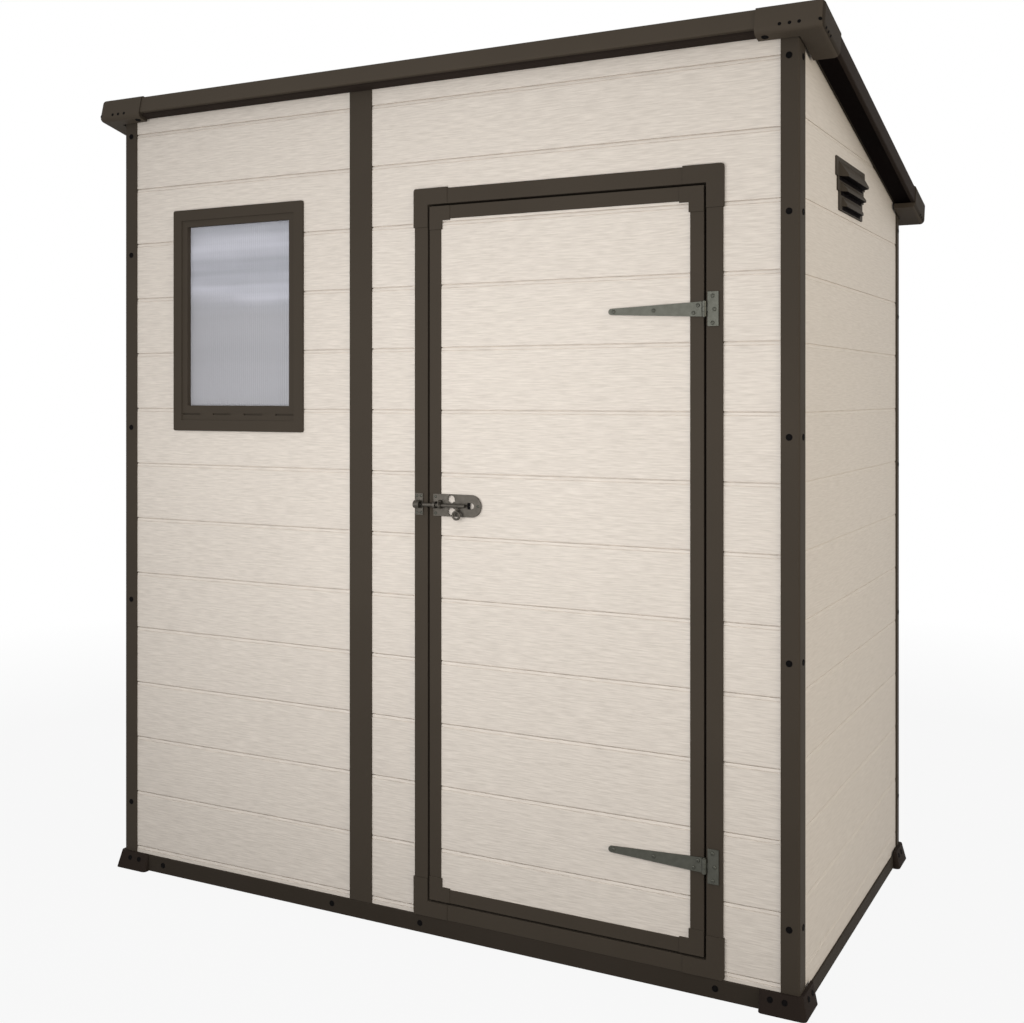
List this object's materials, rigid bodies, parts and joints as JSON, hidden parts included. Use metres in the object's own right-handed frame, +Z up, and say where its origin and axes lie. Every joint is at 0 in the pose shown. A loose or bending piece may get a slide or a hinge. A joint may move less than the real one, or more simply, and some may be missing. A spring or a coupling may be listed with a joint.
{
  "type": "garden shed",
  "caption": "Small garden shed of moulded resin panels with a pent roof, a hinged door with T hinges and a pad bolt, a fixed window and side louvre vents.",
  "frame": {"origin": "on the ground under the middle of the roof's outline", "axes": "+Z up; the front with the door faces -Y; +X to the right as seen from the front"},
  "size_m": [1.848, 1.067, 1.9481],
  "materials": {
    "beige_resin": "matte moulded resin with a fine wood grain",
    "brown_resin": "satin dark brown resin",
    "zinc_steel": "dull zinc-plated steel",
    "window_pane": "translucent ribbed pane"
  },
  "bodies": {
    "shed": {"floor_panel": "brown_resin", "front_rail": "brown_resin", "rear_rail": "brown_resin", "side_rails": "brown_resin", "corner_feet": "brown_resin", "front_post_left": "brown_resin", "front_post_right": "brown_resin", "rear_post_left": "brown_resin", "rear_post_right": "brown_resin", "front_middle_post": "brown_resin", "rear_middle_post": "brown_resin", "window_wall": "beige_resin", "latch_side_wall": "beige_resin", "hinge_side_wall": "beige_resin", "over_door_wall": "beige_resin", "left_wall": "beige_resin", "right_wall": "beige_resin", "rear_wall_left": "beige_resin", "rear_wall_right": "beige_resin", "window_frame": "brown_resin", "window_pane": "window_pane", "wall_vents": "brown_resin", "latch_jamb": "brown_resin", "hinge_jamb": "brown_resin", "door_head": "brown_resin", "door_threshold": "brown_resin", "surround_corners": "brown_resin", "hinge_plates": "zinc_steel", "latch_keeper": "zinc_steel", "roof_panel_left": "brown_resin", "roof_panel_right": "brown_resin", "roof_joint_strip": "brown_resin", "roof_beam": "zinc_steel", "roof_front_edge": "brown_resin", "roof_rear_edge": "brown_resin", "roof_side_edges": "brown_resin", "roof_corner_caps": "brown_resin"},
    "door": {"door_panel": "beige_resin", "latch_stile": "brown_resin", "hinge_stile": "brown_resin", "door_rails": "brown_resin", "door_corners": "brown_resin", "hinge_straps": "zinc_steel", "latch_plate": "zinc_steel"},
    "bolt": {"latch_bolt": "zinc_steel"}
  },
  "joints": [
    {"name": "door_hinge", "type": "hinge", "parent": "shed", "child": "door", "pos_m": [0.6785, -0.504, 0], "axis": [0, 0, 1], "range_deg": [0, 170]},
    {"name": "bolt_slide", "type": "slide", "parent": "door", "child": "bolt", "axis": [-1, 0, 0], "range_m": [0, 0.033]}
  ]
}
